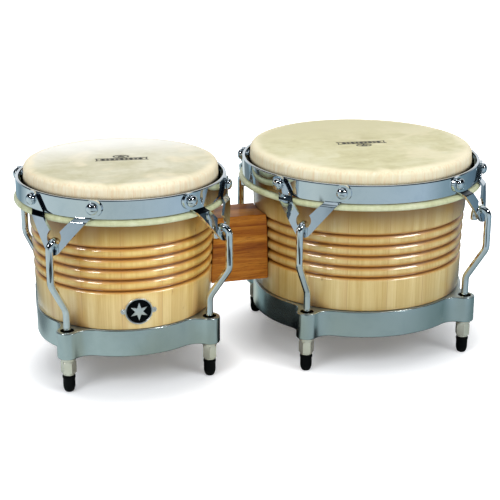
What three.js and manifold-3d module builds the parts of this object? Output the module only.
// Bongo drums: two open wooden shells of different size, joined by a wooden block.
// Each drum has a skin head tucked round a flesh hoop and pulled down by a metal rim.
// V-shaped side plates riveted to the rim are hooked by tension rods, which run down through
// the bosses of a cast bottom ring to tuning nuts and rubber feet.
//
// Millimetres, +Z up. The origin is under the middle of the pair, on the surface it stands on.
// The small drum is on -X, the large drum on +X, and the front of the pair faces -Y.

import * as THREE from "three";
import { mergeVertices } from "three/addons/utils/BufferGeometryUtils.js";
import Module from "manifold-3d";

const wasm = await Module();
wasm.setup();

// ---------------------------------------------------------------- driving dimensions

const AXIS_DISTANCE = 244; // between the two drums' axes
const HEAD_TOP = 202.3; // playing surface above the floor
const GAP = 0.3; // clearance between pieces that touch
const WELD = 1e-4; // corners closer than this are one corner
const CUT_MARGIN = 1; // how far a cutter passes the face that it opens
const CUT_REACH = 20; // how far a radial cutter runs to each side of the rim

const FACETS = 36; // round a drum
const HOOP_FACETS = 8; // round the flesh hoop's roll
const ARC_STEPS = 3; // per arc of a flat outline
const BORE_STEPS = 4; // per half of a nut's bore
const BEND_STEPS = 3; // per bend of a tension rod
const HOOK_STEPS = 6;
const ROD_FACETS = 8;
const RIVET_FACETS = 6;
const FOOT_FACETS = 8;
const BOLT_FACETS = 12;

// taper lists the shell's outer radius at rising heights: [height, radius]
const SMALL = {
  name: "small",
  hoopRadius: 102.4, // outside of the flesh hoop's roll
  rimRadius: 99.9,
  headRadius: 92.2,
  taper: [[38.3, 83.6], [75, 84.9], [120, 86.9], [150, 88.4], [201, 90.6]],
  firstGroove: 140.9,
  groovePitch: 10.57,
  ringRadius: 85.5,
  bossCircle: 96.2, // lower, straight end of the tension rods
  rodCircle: 116.4, // upper, straight end of the tension rods
};
const LARGE = {
  name: "large",
  hoopRadius: 121.9,
  rimRadius: 118.6,
  headRadius: 110.5,
  taper: [[38.3, 104.0], [100, 104.9], [130, 105.9], [145, 107.0], [201, 108.9]],
  firstGroove: 137.2,
  groovePitch: 10.72,
  ringRadius: 106.5,
  bossCircle: 117.4,
  rodCircle: 134.8,
};

// the flesh hoops set the overall length, which is centred on the origin
const OVERALL_LENGTH = AXIS_DISTANCE + SMALL.hoopRadius + LARGE.hoopRadius;
SMALL.x = -OVERALL_LENGTH / 2 + SMALL.hoopRadius;
LARGE.x = OVERALL_LENGTH / 2 - LARGE.hoopRadius;

const SHELL_WALL = 12;
const SHELL_TOP = HEAD_TOP - 1.3;
const SHELL_TOP_ROUNDING = 5.5; // of the outer edge, under the skin
const SHELL_TOP_CHAMFER = 3; // of the inner edge
const GROOVE_COUNT = 5;
const GROOVE_DEPTH = 2.2;
const GROOVE_SHOULDER = 0.28; // half a groove's width, as a share of the pitch

const SKIN = 1.0;
const SKIN_CROWN = 6; // rounding of the edge of the playing surface
const SKIN_COLLAR_BOTTOM = 174;

const HOOP_HEIGHT = 168.6; // middle of the roll
const HOOP_HALF_WIDTH = 4;
const HOOP_HALF_HEIGHT = 3.4;

const RIM_BOTTOM = 172.3;
const RIM_TOP = 190.3;
const RIM_WALL = 3;
const RIM_CHAMFER = 1;

const RING_BOTTOM = 34.5;
const RING_TOP = 61;
const RING_RABBET = 2; // the shell is turned down by this much inside the ring
const RING_LEDGE = 3.5; // thickness of the inward ledge that the shell stands on
const RING_LEDGE_WIDTH = 12.5;
const BOSS_RADIUS = 10;
const BOSS_FILLET = 18;
const BOSS_RECESS_RADIUS = 6.35;
const BOSS_RECESS_DEPTH = 3;

const ROD_RADIUS = 3.5;
const ROD_HOLE = 4.25;
const ROD_BOTTOM = 5;
const ROD_LOWER_BEND = 80;
const ROD_UPPER_BEND = 112;
const ROD_BEND_RADIUS = 14;
const HOOK_RADIUS = 7;
const HOOK_CENTRE = 144.5;
const HOOK_TIP = 139.5;

const PLATE = 2.5; // thickness of the side plate's sheet
const PLATE_TOP = 192;
const PLATE_STEP_TOP = 174.3; // the sheet steps outward here, to clear the flesh hoop
const PLATE_STEP_BOTTOM = 171.2;
const PLATE_STEP_DROP = 1.1; // the inner face steps lower, which keeps the sheet's thickness
const PLATE_STEP_CLEARANCE = 1.6;
const PLATE_TAB_RADIUS = 8;
const PLATE_TAB_TANGENT = THREE.MathUtils.degToRad(146);
const PLATE_CROTCH = { across: 16.5, height: 172.5 }; // where the V's inner edge bends
const PLATE_VERTEX = { height: 148.5, radius: 9.5 };
const PLATE_NOTCH = { height: 155, radius: 7.6, neckAngle: THREE.MathUtils.degToRad(46) };

const RIVET_SPREAD = 33; // sideways from the middle of the plate to each rivet
const RIVET_HEIGHT = 182.9;
const RIVET_SHANK = 2.4;
const RIVET_HOLE = 3.1;
const RIVET_HEAD_RADIUS = 5.5;
const RIVET_HEAD_HEIGHT = 4.5;
const RIVET_SHOULDER = { radius: 4.2, height: 3.1 }; // where the domed head turns over
const RIVET_TAIL_RADIUS = 4;
const RIVET_TAIL_HEIGHT = 1.2;
const RIVET_SLACK = 1.5; // room between head and tail beyond the sheets, which are curved

const NUT_ACROSS_FLATS = 12.7;
const NUT_BOTTOM = 17.1;
const NUT_BORE = 4.2;

const FOOT_RADIUS = 5.7;
const FOOT_TIP_RADIUS = 3;
const FOOT_SHOULDER = { radius: 4.9, height: 2.2 };
const FOOT_TAPER_TOP = 6;
const FOOT_BORE = 4.2;

const BLOCK_WIDTH = 42.6;
const BLOCK_BOTTOM = 75.3;
const BLOCK_TOP = 142;
const TIE_BOLT_HEIGHT = (BLOCK_BOTTOM + BLOCK_TOP) / 2;
const TIE_BOLT_RADIUS = 4;
const TIE_BOLT_HOLE = 4.5;
const TIE_BOLT_HEAD_RADIUS = 9;
const TIE_BOLT_HEAD_HEIGHT = 5;
const TIE_BOLT_HEAD_EDGE = 2; // height of the head's straight side
const TIE_BOLT_CROWN_RADIUS = 6;
const TIE_BOLT_HEAD_CLEARANCE = 1.3; // the head is flat and the shell's inside is round

const LUGS = [
  { name: "back_right", turn: 0 },
  { name: "back_left", turn: 1 },
  { name: "front_left", turn: 2 },
  { name: "front_right", turn: 3 },
];
const FIRST_LUG_ANGLE = Math.PI / 4;
const QUARTER_TURN = Math.PI / 2;

// ---------------------------------------------------------------- materials

function finish(color, roughness, metalness) {
  return () => new THREE.MeshStandardMaterial({ color, roughness, metalness });
}

const paleWood = finish(0xcda564, 0.35, 0);
const brownWood = finish(0x7a4a28, 0.35, 0);
const smallSkin = finish(0xe8e2d2, 0.6, 0);
const largeSkin = finish(0xdcd6b4, 0.6, 0);
const chrome = finish(0xb4c0ca, 0.08, 1);
const castMetal = finish(0x93a6a8, 0.28, 1);
const nickel = finish(0xb9bba9, 0.25, 1);
const blackRubber = finish(0x101012, 0.75, 0);

// ---------------------------------------------------------------- geometry helpers

// A closed outline of [radius, height] points turned about the Z axis.
function turned(outline, facets = FACETS) {
  const points = outline.map(([radius, height]) => new THREE.Vector2(radius, height));
  const geometry = new THREE.LatheGeometry(points, facets);
  geometry.rotateX(Math.PI / 2);
  return geometry;
}

// A ring-shaped outline, closed on itself.
function closedOutline(outline) {
  return [...outline, outline[0]];
}

// The corners of an outer edge rounded by a size, from its side up to its top.
function roundedEdge(radius, top, size) {
  const inset = size * (1 - Math.SQRT1_2);
  return [[radius, top - size], [radius - inset, top - inset], [radius - size, top]];
}

function polygon(sides, cornerRadius) {
  const corners = Array.from({ length: sides }, (_, i) => {
    const angle = (i * 2 * Math.PI) / sides;
    return new THREE.Vector2(cornerRadius * Math.cos(angle), cornerRadius * Math.sin(angle));
  });
  return new THREE.Shape(corners);
}

// A flat shape in the XY plane, extruded upward between two heights.
function extruded(shape, bottom, top, curveSegments = ARC_STEPS) {
  const depth = top - bottom;
  const geometry = new THREE.ExtrudeGeometry(shape, { depth, curveSegments, bevelEnabled: false });
  geometry.translate(0, 0, bottom);
  return geometry;
}

function cylinder(radius, bottom, top, facets) {
  const geometry = new THREE.CylinderGeometry(radius, radius, top - bottom, facets);
  geometry.rotateX(Math.PI / 2);
  geometry.translate(0, 0, (bottom + top) / 2);
  return geometry;
}

// A cylinder along +X from one distance to another.
function crossCylinder(radius, from, to, facets) {
  const geometry = cylinder(radius, from, to, facets);
  geometry.rotateY(QUARTER_TURN);
  return geometry;
}

function toSolid(geometry) {
  const bare = geometry.clone();
  bare.deleteAttribute("normal");
  bare.deleteAttribute("uv");
  const merged = mergeVertices(bare, WELD);
  const corners = merged.index.array;
  const triVerts = [];
  for (let i = 0; i < corners.length; i += 3) {
    const [a, b, c] = [corners[i], corners[i + 1], corners[i + 2]];
    if (a !== b && b !== c && c !== a) {
      triVerts.push(a, b, c);
    }
  }
  return new wasm.Manifold(new wasm.Mesh({
    numProp: 3,
    vertProperties: merged.attributes.position.array,
    triVerts: new Uint32Array(triVerts),
  }));
}

function toGeometry(solid) {
  const mesh = solid.getMesh();
  const geometry = new THREE.BufferGeometry();
  geometry.setAttribute("position", new THREE.BufferAttribute(mesh.vertProperties, 3));
  geometry.setIndex(new THREE.BufferAttribute(mesh.triVerts, 1));
  geometry.computeVertexNormals();
  return geometry;
}

// The first geometry with all the others cut away.
function cut(geometry, ...tools) {
  let solid = toSolid(geometry);
  for (const tool of tools) {
    solid = solid.subtract(toSolid(tool));
  }
  return toGeometry(solid);
}

function common(first, second) {
  return toGeometry(toSolid(first).intersect(toSolid(second)));
}

// ---------------------------------------------------------------- one drum's dimensions

// The shell's outer radius at a height, read along its taper.
function shellRadius(drum, height) {
  const { taper } = drum;
  const last = taper.length - 1;
  let i = 0;
  while (i < last - 1 && height > taper[i + 1][0]) {
    i += 1;
  }
  const [h0, r0] = taper[i];
  const [h1, r1] = taper[i + 1];
  return r0 + ((height - h0) * (r1 - r0)) / (h1 - h0);
}

function grooveHeights(drum) {
  return Array.from({ length: GROOVE_COUNT }, (_, i) => drum.firstGroove - i * drum.groovePitch);
}

// ---------------------------------------------------------------- shell, head, hoop, rim

function shellGeometry(drum) {
  const bottom = drum.taper[0][0];
  const rabbet = shellRadius(drum, RING_TOP) - RING_RABBET;
  const step = RING_TOP + GAP;
  const outside = [[rabbet, bottom], [rabbet, step], [shellRadius(drum, step), step]];

  // half-round beads stand between the turned grooves
  const shoulder = drum.groovePitch * GROOVE_SHOULDER;
  for (const height of grooveHeights(drum).reverse()) {
    const radius = shellRadius(drum, height);
    outside.push([radius, height - shoulder]);
    outside.push([radius - GROOVE_DEPTH, height]);
    outside.push([radius, height + shoulder]);
  }
  const top = shellRadius(drum, SHELL_TOP);
  outside.push(...roundedEdge(top, SHELL_TOP, SHELL_TOP_ROUNDING));

  const inside = [
    [top - SHELL_WALL + SHELL_TOP_CHAMFER, SHELL_TOP],
    [top - SHELL_WALL, SHELL_TOP - SHELL_TOP_CHAMFER],
    [shellRadius(drum, bottom) - SHELL_WALL, bottom],
  ];
  const [from, to] = drum === SMALL ? [0, drum.hoopRadius] : [-drum.hoopRadius, 0];
  const boltHole = crossCylinder(TIE_BOLT_HOLE, from, to, BOLT_FACETS);
  boltHole.translate(0, 0, TIE_BOLT_HEIGHT);
  return cut(turned(closedOutline([...outside, ...inside])), boltHole);
}

// The skin: its flat top, rounded crown, and the collar that drops inside the rim.
function headGeometry(drum) {
  const outer = drum.headRadius;
  const inner = outer - SKIN;
  const underside = HEAD_TOP - SKIN;
  return turned([
    [0, underside],
    ...roundedEdge(inner, underside, SKIN_CROWN - SKIN / 2).reverse(),
    [inner, SKIN_COLLAR_BOTTOM],
    [outer, SKIN_COLLAR_BOTTOM],
    ...roundedEdge(outer, HEAD_TOP, SKIN_CROWN),
    [0, HEAD_TOP],
  ]);
}

function fleshHoopGeometry(drum) {
  const centre = drum.hoopRadius - HOOP_HALF_WIDTH;
  const outline = Array.from({ length: HOOP_FACETS }, (_, i) => {
    const angle = (i * 2 * Math.PI) / HOOP_FACETS;
    return [centre + HOOP_HALF_WIDTH * Math.cos(angle), HOOP_HEIGHT + HOOP_HALF_HEIGHT * Math.sin(angle)];
  });
  return turned(closedOutline(outline));
}

function rivetAngle(drum, side) {
  return side * Math.asin(RIVET_SPREAD / (drum.rimRadius + PLATE));
}

// Cutters for the rivet holes of one plate, about the lug direction +X.
function rivetHoles(drum) {
  const [from, to] = [drum.rimRadius - CUT_REACH, drum.rimRadius + CUT_REACH];
  return [-1, 1].map((side) => {
    const hole = crossCylinder(RIVET_HOLE, from, to, RIVET_FACETS);
    hole.translate(0, 0, RIVET_HEIGHT);
    hole.rotateZ(rivetAngle(drum, side));
    return hole;
  });
}

function rimGeometry(drum) {
  const outer = drum.rimRadius;
  const band = turned(closedOutline([
    [outer - RIM_WALL, RIM_BOTTOM],
    [outer, RIM_BOTTOM],
    [outer, RIM_TOP - RIM_CHAMFER],
    [outer - RIM_CHAMFER, RIM_TOP],
    [outer - RIM_WALL, RIM_TOP],
  ]));
  const holes = LUGS.flatMap((lug) => rivetHoles(drum).map((hole) => hole.rotateZ(lugAngle(lug))));
  return cut(band, ...holes);
}

// ---------------------------------------------------------------- bottom ring

// A ring with four round bosses, each blended into it by two concave fillets.
function ringOutline(drum) {
  const filletDistance = drum.ringRadius + BOSS_FILLET;
  const bossDistance = BOSS_RADIUS + BOSS_FILLET;
  const { bossCircle } = drum;
  const filletAngle = Math.acos(
    (filletDistance ** 2 + bossCircle ** 2 - bossDistance ** 2) / (2 * filletDistance * bossCircle),
  );
  // angle at the boss between the lug direction and the fillet's centre
  const bossSweep = Math.PI - Math.acos(
    (bossDistance ** 2 + bossCircle ** 2 - filletDistance ** 2) / (2 * bossDistance * bossCircle),
  );

  const shape = new THREE.Shape();
  for (const lug of LUGS) {
    const angle = lugAngle(lug);
    const before = angle - filletAngle;
    const after = angle + filletAngle;
    shape.absarc(filletDistance * Math.cos(before), filletDistance * Math.sin(before), BOSS_FILLET,
      before + Math.PI, angle + Math.PI - bossSweep, true);
    shape.absarc(bossCircle * Math.cos(angle), bossCircle * Math.sin(angle), BOSS_RADIUS,
      angle - bossSweep, angle + bossSweep, false);
    shape.absarc(filletDistance * Math.cos(after), filletDistance * Math.sin(after), BOSS_FILLET,
      angle + Math.PI + bossSweep, after + Math.PI, true);
    shape.absarc(0, 0, drum.ringRadius, after, after + QUARTER_TURN - 2 * filletAngle, false);
  }
  return shape;
}

function bottomRingGeometry(drum) {
  const body = extruded(ringOutline(drum), RING_BOTTOM, RING_TOP);
  const socket = shellRadius(drum, RING_TOP) - RING_RABBET + GAP;
  const opening = drum.ringRadius - RING_LEDGE_WIDTH;
  const ledge = RING_BOTTOM + RING_LEDGE;
  const [below, above] = [RING_BOTTOM - CUT_MARGIN, RING_TOP + CUT_MARGIN];
  const bore = turned([
    [0, below],
    [opening, below],
    [opening, ledge],
    [socket, ledge],
    [socket, above],
    [0, above],
  ]);
  const holes = LUGS.flatMap((lug) => {
    const through = cylinder(ROD_HOLE, below, above, ROD_FACETS);
    const recess = cylinder(BOSS_RECESS_RADIUS, RING_TOP - BOSS_RECESS_DEPTH, above, BOLT_FACETS);
    return [through, recess].map((tool) => {
      tool.translate(drum.bossCircle, 0, 0);
      return tool.rotateZ(lugAngle(lug));
    });
  });
  return cut(body, bore, ...holes);
}

// ---------------------------------------------------------------- tuning hardware at one lug
// Everything here is made on the lug direction +X and turned to its lug afterwards.

// A stretch of the rod's centreline, given as points with their directions in the XZ plane.
function arcStations(centreX, centreZ, radius, fromAngle, toAngle, count) {
  const turnSign = Math.sign(toAngle - fromAngle);
  return Array.from({ length: count + 1 }, (_, i) => {
    const angle = fromAngle + ((toAngle - fromAngle) * i) / count;
    return {
      point: new THREE.Vector3(centreX + radius * Math.cos(angle), 0, centreZ + radius * Math.sin(angle)),
      tangent: new THREE.Vector3(-Math.sin(angle) * turnSign, 0, Math.cos(angle) * turnSign),
    };
  });
}

function straightStation(x, z, direction) {
  return { point: new THREE.Vector3(x, 0, z), tangent: new THREE.Vector3(0, 0, direction) };
}

// A curve that visits fixed stations, so that straight stretches take one step each.
class StationCurve extends THREE.Curve {
  constructor(stations) {
    super();
    this.stations = stations;
  }

  at(u) {
    return this.stations[Math.round(u * (this.stations.length - 1))];
  }

  getPoint(u) {
    return this.at(u).point.clone();
  }

  getPointAt(u) {
    return this.getPoint(u);
  }

  getTangentAt(u) {
    return this.at(u).tangent.clone();
  }
}

// The rod's centreline: up through the boss, out round the rim and over into the hook.
function rodStations(drum) {
  const { bossCircle, rodCircle } = drum;
  const slope = Math.atan2(rodCircle - bossCircle, ROD_UPPER_BEND - ROD_LOWER_BEND);
  const setback = ROD_BEND_RADIUS * Math.tan(slope / 2);
  const hookX = rodCircle - HOOK_RADIUS;
  return [
    straightStation(bossCircle, ROD_BOTTOM, 1),
    ...arcStations(bossCircle + ROD_BEND_RADIUS, ROD_LOWER_BEND - setback, ROD_BEND_RADIUS,
      Math.PI, Math.PI - slope, BEND_STEPS),
    ...arcStations(rodCircle - ROD_BEND_RADIUS, ROD_UPPER_BEND + setback, ROD_BEND_RADIUS,
      -slope, 0, BEND_STEPS),
    ...arcStations(hookX, HOOK_CENTRE, HOOK_RADIUS, 0, Math.PI, HOOK_STEPS),
    straightStation(hookX - HOOK_RADIUS, HOOK_TIP, -1),
  ];
}

function tensionRodGeometry(drum) {
  const stations = rodStations(drum);
  return new THREE.ExtrudeGeometry(polygon(ROD_FACETS, ROD_RADIUS), {
    steps: stations.length - 1,
    extrudePath: new StationCurve(stations),
    bevelEnabled: false,
  });
}

// The V in the plane across the lug direction: X is sideways, Y is the height.
function sidePlateOutline() {
  const vertex = PLATE_VERTEX;
  const notch = PLATE_NOTCH;
  const tabFoot = { x: RIVET_SPREAD, y: RIVET_HEIGHT - PLATE_TAB_RADIUS };
  const reach = Math.hypot(tabFoot.x, tabFoot.y - vertex.height);
  const tangent = Math.atan2(tabFoot.y - vertex.height, tabFoot.x) - Math.acos(vertex.radius / reach);

  const shape = new THREE.Shape();
  shape.absarc(0, vertex.height, vertex.radius, Math.PI - tangent, 2 * Math.PI + tangent, false);
  shape.absarc(RIVET_SPREAD, RIVET_HEIGHT, PLATE_TAB_RADIUS, -QUARTER_TURN, PLATE_TAB_TANGENT, false);
  shape.lineTo(PLATE_CROTCH.across, PLATE_CROTCH.height);
  shape.absarc(0, notch.height, notch.radius, notch.neckAngle, Math.PI - notch.neckAngle, true);
  shape.lineTo(-PLATE_CROTCH.across, PLATE_CROTCH.height);
  shape.absarc(-RIVET_SPREAD, RIVET_HEIGHT, PLATE_TAB_RADIUS, Math.PI - PLATE_TAB_TANGENT,
    3 * QUARTER_TURN, false);
  return shape;
}

// The sheet that the plate is cut from: a turned strip that steps out over the flesh hoop.
function sidePlateSheet(drum) {
  const upper = drum.rimRadius + GAP;
  const lower = drum.hoopRadius + PLATE_STEP_CLEARANCE;
  // the facet under the hook is nearer the axis than the corners that the outline gives
  const seat = (drum.rodCircle - HOOK_RADIUS) / Math.cos(Math.PI / FACETS) - PLATE / 2;
  const seatHeight = PLATE_NOTCH.height - PLATE_NOTCH.radius;
  const bottom = PLATE_VERTEX.height - PLATE_VERTEX.radius - CUT_MARGIN;
  const lean = (seat - lower) / (PLATE_STEP_BOTTOM - seatHeight);
  const vertex = seat + lean * (seatHeight - bottom);
  return turned(closedOutline([
    [vertex, bottom],
    [vertex + PLATE, bottom],
    [lower + PLATE, PLATE_STEP_BOTTOM],
    [upper + PLATE, PLATE_STEP_TOP],
    [upper + PLATE, PLATE_TOP],
    [upper, PLATE_TOP],
    [upper, PLATE_STEP_TOP - PLATE_STEP_DROP],
    [lower, PLATE_STEP_BOTTOM - PLATE_STEP_DROP],
  ]));
}

// Made at the first lug, so that its facets line up with the rim's.
function sidePlateGeometry(drum) {
  const cutter = extruded(sidePlateOutline(), drum.rimRadius - CUT_REACH, drum.rodCircle);
  cutter.rotateX(QUARTER_TURN);
  cutter.rotateZ(QUARTER_TURN + FIRST_LUG_ANGLE);
  const holes = rivetHoles(drum).map((hole) => hole.rotateZ(FIRST_LUG_ANGLE));
  return cut(common(sidePlateSheet(drum), cutter), ...holes);
}

function rivetGeometry() {
  const tail = -(RIM_WALL + PLATE + RIVET_SLACK);
  const geometry = turned([
    [0, tail - RIVET_TAIL_HEIGHT],
    [RIVET_TAIL_RADIUS, tail - RIVET_TAIL_HEIGHT],
    [RIVET_TAIL_RADIUS, tail],
    [RIVET_SHANK, tail],
    [RIVET_SHANK, 0],
    [RIVET_HEAD_RADIUS, 0],
    [RIVET_SHOULDER.radius, RIVET_SHOULDER.height],
    [0, RIVET_HEAD_HEIGHT],
  ], RIVET_FACETS);
  geometry.rotateY(QUARTER_TURN);
  return geometry;
}

function tuningNutGeometry() {
  const shape = polygon(6, NUT_ACROSS_FLATS / Math.sqrt(3));
  const bore = new THREE.Path();
  bore.absarc(0, 0, NUT_BORE, 0, 2 * Math.PI, false);
  shape.holes.push(bore);
  return extruded(shape, NUT_BOTTOM, RING_BOTTOM - GAP, BORE_STEPS);
}

// A rubber tip pushed on to the end of the rod, with a small flat to stand on.
function rubberFootGeometry() {
  const top = NUT_BOTTOM - GAP;
  return turned([
    [0, 0],
    [FOOT_TIP_RADIUS, 0],
    [FOOT_SHOULDER.radius, FOOT_SHOULDER.height],
    [FOOT_RADIUS, FOOT_TAPER_TOP],
    [FOOT_RADIUS, top],
    [FOOT_BORE, top],
    [FOOT_BORE, ROD_BOTTOM - GAP],
    [0, ROD_BOTTOM - GAP],
  ], FOOT_FACETS);
}

// ---------------------------------------------------------------- block between the drums

function blockGeometry() {
  const length = LARGE.x - SMALL.x;
  const body = new THREE.BoxGeometry(length, BLOCK_WIDTH, BLOCK_TOP - BLOCK_BOTTOM);
  body.translate(SMALL.x + length / 2, 0, (BLOCK_TOP + BLOCK_BOTTOM) / 2);
  const hollows = [SMALL, LARGE].map((drum) => {
    const [below, above] = [BLOCK_BOTTOM - CUT_MARGIN, BLOCK_TOP + CUT_MARGIN];
    const envelope = turned([
      [0, below],
      [shellRadius(drum, below) + GAP, below],
      [shellRadius(drum, above) + GAP, above],
      [0, above],
    ]);
    return envelope.translate(drum.x, 0, 0);
  });
  const hole = crossCylinder(TIE_BOLT_HOLE, SMALL.x, LARGE.x, BOLT_FACETS);
  hole.translate(0, 0, TIE_BOLT_HEIGHT);
  return cut(body, ...hollows, hole);
}

// The shell's inner radius at the bolt, less the room that a flat head needs.
function boltHeadFace(drum) {
  const bottom = drum.taper[0][0];
  const low = shellRadius(drum, bottom) - SHELL_WALL;
  const high = shellRadius(drum, SHELL_TOP) - SHELL_WALL;
  const share = (TIE_BOLT_HEIGHT - bottom) / (SHELL_TOP - SHELL_TOP_CHAMFER - bottom);
  return low + (high - low) * share - TIE_BOLT_HEAD_CLEARANCE;
}

function tieBoltGeometry() {
  const from = SMALL.x + boltHeadFace(SMALL);
  const to = LARGE.x - boltHeadFace(LARGE);
  const geometry = turned([
    [0, from - TIE_BOLT_HEAD_HEIGHT],
    [TIE_BOLT_CROWN_RADIUS, from - TIE_BOLT_HEAD_HEIGHT],
    [TIE_BOLT_HEAD_RADIUS, from - TIE_BOLT_HEAD_EDGE],
    [TIE_BOLT_HEAD_RADIUS, from],
    [TIE_BOLT_RADIUS, from],
    [TIE_BOLT_RADIUS, to],
    [TIE_BOLT_HEAD_RADIUS, to],
    [TIE_BOLT_HEAD_RADIUS, to + TIE_BOLT_HEAD_EDGE],
    [TIE_BOLT_CROWN_RADIUS, to + TIE_BOLT_HEAD_HEIGHT],
    [0, to + TIE_BOLT_HEAD_HEIGHT],
  ], BOLT_FACETS);
  geometry.rotateY(QUARTER_TURN);
  geometry.translate(0, 0, TIE_BOLT_HEIGHT);
  return geometry;
}

// ---------------------------------------------------------------- assembly

function lugAngle(lug) {
  return FIRST_LUG_ANGLE + lug.turn * QUARTER_TURN;
}

function addPiece(group, name, geometry, material, turn = 0) {
  const mesh = new THREE.Mesh(geometry, material());
  mesh.name = name;
  mesh.rotation.z = turn;
  group.add(mesh);
  return mesh;
}

function addRivets(group, drum, lug, geometry) {
  const seat = drum.rimRadius + PLATE + 2 * GAP;
  for (const [side, label] of [[-1, "right"], [1, "left"]]) {
    const angle = lugAngle(lug) + rivetAngle(drum, side);
    const name = `${drum.name}_rivet_${lug.name}_${label}`;
    const rivet = addPiece(group, name, geometry, chrome, angle);
    rivet.position.set(seat * Math.cos(angle), seat * Math.sin(angle), RIVET_HEIGHT);
  }
}

function buildDrum(drum) {
  const group = new THREE.Group();
  group.position.x = drum.x;
  const { name } = drum;
  addPiece(group, `${name}_shell`, shellGeometry(drum), paleWood);
  addPiece(group, `${name}_head`, headGeometry(drum), drum === SMALL ? smallSkin : largeSkin);
  addPiece(group, `${name}_flesh_hoop`, fleshHoopGeometry(drum), drum === SMALL ? smallSkin : largeSkin);
  addPiece(group, `${name}_rim`, rimGeometry(drum), chrome);
  addPiece(group, `${name}_bottom_ring`, bottomRingGeometry(drum), castMetal);

  const hardware = [
    ["side_plate", sidePlateGeometry(drum), chrome, FIRST_LUG_ANGLE],
    ["tension_rod", tensionRodGeometry(drum), chrome, 0],
    ["tuning_nut", tuningNutGeometry().translate(drum.bossCircle, 0, 0), nickel, 0],
    ["rubber_foot", rubberFootGeometry().translate(drum.bossCircle, 0, 0), blackRubber, 0],
  ];
  const rivet = rivetGeometry();
  for (const lug of LUGS) {
    for (const [kind, geometry, material, madeAt] of hardware) {
      addPiece(group, `${name}_${kind}_${lug.name}`, geometry, material, lugAngle(lug) - madeAt);
    }
    addRivets(group, drum, lug, rivet);
  }
  return group;
}

const bongos = new THREE.Group();
bongos.add(buildDrum(SMALL), buildDrum(LARGE));
addPiece(bongos, "center_block", blockGeometry(), brownWood);
addPiece(bongos, "block_tie_bolt", tieBoltGeometry(), nickel);

export default bongos;
